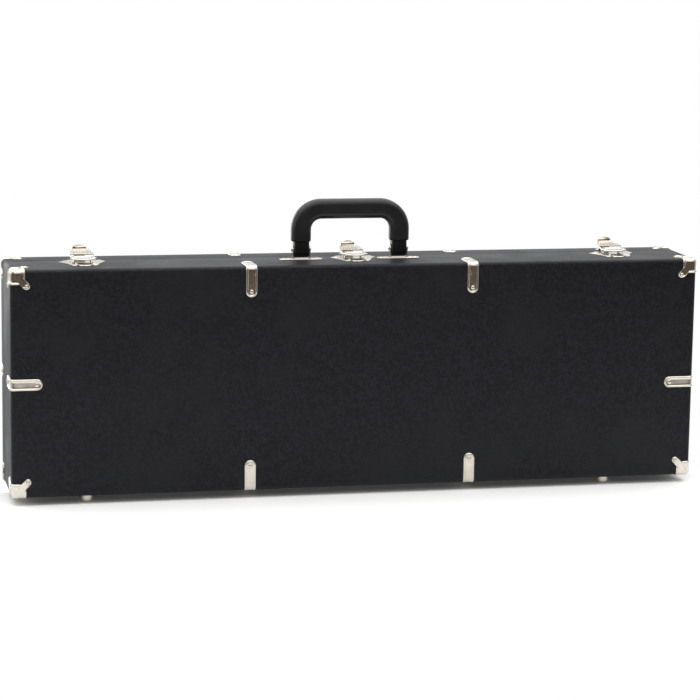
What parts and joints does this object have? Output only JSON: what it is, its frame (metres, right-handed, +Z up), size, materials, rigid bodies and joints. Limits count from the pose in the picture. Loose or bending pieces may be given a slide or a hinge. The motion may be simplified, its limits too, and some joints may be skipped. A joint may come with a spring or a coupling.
{
  "type": "guitar case",
  "caption": "Rectangular hard-shell guitar case covered in black grained vinyl, with nickel corner caps, edge clamps, draw latches, a folding carry handle and a hinged lid.",
  "frame": {"origin": "on the floor under the middle of the case, at the underside of the feet", "axes": "+X runs along the case from the viewer's left to right, -Y is the front face (the base half), +Z is up towards the handle"},
  "size_m": [1.0626, 0.1486, 0.4465],
  "materials": {
    "vinyl_covering": "black grained vinyl over plywood, satin",
    "nickel_hardware": "bright nickel plate",
    "nickel_feet": "bright nickel plate, scuffed",
    "handle_plastic": "moulded black plastic, satin",
    "plush_lining": "short-pile plush"
  },
  "bodies": {
    "case_base": {"base_shell": "vinyl_covering", "base_lining": "plush_lining", "neck_rest": "plush_lining", "store_box": "plush_lining", "handle_bracket_left": "nickel_hardware", "handle_pin_left": "nickel_hardware", "base_foot_left": "nickel_feet", "handle_bracket_right": "nickel_hardware", "handle_pin_right": "nickel_hardware", "base_foot_right": "nickel_feet", "base_corner_bottom_left": "nickel_hardware", "base_clamp_bottom_left": "nickel_hardware", "base_corner_bottom_right": "nickel_hardware", "base_clamp_bottom_right": "nickel_hardware", "base_corner_top_left": "nickel_hardware", "base_clamp_top_left": "nickel_hardware", "base_corner_top_right": "nickel_hardware", "base_clamp_top_right": "nickel_hardware", "base_clamp_end_left": "nickel_hardware", "base_clamp_end_right": "nickel_hardware", "latch_left_plate": "nickel_hardware", "hinge_left_base_leaf": "nickel_hardware", "hinge_left_pin": "nickel_hardware", "latch_middle_plate": "nickel_hardware", "hinge_middle_base_leaf": "nickel_hardware", "hinge_middle_pin": "nickel_hardware", "latch_right_plate": "nickel_hardware", "hinge_right_base_leaf": "nickel_hardware", "hinge_right_pin": "nickel_hardware"},
    "case_lid": {"lid_shell": "vinyl_covering", "lid_lining": "plush_lining", "lid_foot_left": "nickel_feet", "lid_foot_right": "nickel_feet", "lid_corner_bottom_left": "nickel_hardware", "lid_clamp_bottom_left": "nickel_hardware", "lid_corner_bottom_right": "nickel_hardware", "lid_clamp_bottom_right": "nickel_hardware", "lid_corner_top_left": "nickel_hardware", "lid_clamp_top_left": "nickel_hardware", "lid_corner_top_right": "nickel_hardware", "lid_clamp_top_right": "nickel_hardware", "lid_clamp_end_left": "nickel_hardware", "lid_clamp_end_right": "nickel_hardware", "latch_left_keeper": "nickel_hardware", "hinge_left_lid_leaf": "nickel_hardware", "latch_middle_keeper": "nickel_hardware", "hinge_middle_lid_leaf": "nickel_hardware", "latch_right_keeper": "nickel_hardware", "hinge_right_lid_leaf": "nickel_hardware"},
    "handle": {"handle_grip": "handle_plastic"},
    "store_flap": {"store_lid": "plush_lining"},
    "lever_left": {"latch_left_lever": "nickel_hardware"},
    "hasp_left": {"latch_left_hasp": "nickel_hardware"},
    "lever_middle": {"latch_middle_lever": "nickel_hardware"},
    "hasp_middle": {"latch_middle_hasp": "nickel_hardware"},
    "lever_right": {"latch_right_lever": "nickel_hardware"},
    "hasp_right": {"latch_right_hasp": "nickel_hardware"}
  },
  "joints": [
    {"name": "lid_hinge", "type": "hinge", "parent": "case_base", "child": "case_lid", "pos_m": [0, 0.025, 0.0087], "axis": [-1, 0, 0], "range_deg": [0, 105]},
    {"name": "handle_fold", "type": "hinge", "parent": "case_base", "child": "handle", "pos_m": [-0.0075, -0.01, 0.37], "axis": [1, 0, 0], "range_deg": [-40, 85]},
    {"name": "store_flap_hinge", "type": "hinge", "parent": "case_base", "child": "store_flap", "pos_m": [-0.078, -0.0066, 0.0801], "axis": [1, 0, 0], "range_deg": [0, 80]},
    {"name": "latch_left_lever_pivot", "type": "hinge", "parent": "case_base", "child": "lever_left", "pos_m": [-0.415, 0.003, 0.3604], "axis": [-1, 0, 0], "range_deg": [-7, 75]},
    {"name": "latch_left_hasp_pivot", "type": "hinge", "parent": "lever_left", "child": "hasp_left", "pos_m": [-0.415, -0.0052, 0.3603], "axis": [1, 0, 0], "range_deg": [-10.5, 106]},
    {"name": "latch_middle_lever_pivot", "type": "hinge", "parent": "case_base", "child": "lever_middle", "pos_m": [0, 0.003, 0.3604], "axis": [-1, 0, 0], "range_deg": [-7, 75]},
    {"name": "latch_middle_hasp_pivot", "type": "hinge", "parent": "lever_middle", "child": "hasp_middle", "pos_m": [0, -0.0052, 0.3603], "axis": [1, 0, 0], "range_deg": [-10.5, 106]},
    {"name": "latch_right_lever_pivot", "type": "hinge", "parent": "case_base", "child": "lever_right", "pos_m": [0.415, 0.003, 0.3604], "axis": [-1, 0, 0], "range_deg": [-7, 75]},
    {"name": "latch_right_hasp_pivot", "type": "hinge", "parent": "lever_right", "child": "hasp_right", "pos_m": [0.415, -0.0052, 0.3603], "axis": [1, 0, 0], "range_deg": [-10.5, 106]}
  ],
  "couplings": [
    {"joint": "latch_left_hasp_pivot", "follows": "latch_left_lever_pivot", "ratio": 1.4},
    {"joint": "latch_middle_hasp_pivot", "follows": "latch_middle_lever_pivot", "ratio": 1.4},
    {"joint": "latch_right_hasp_pivot", "follows": "latch_right_lever_pivot", "ratio": 1.4}
  ]
}
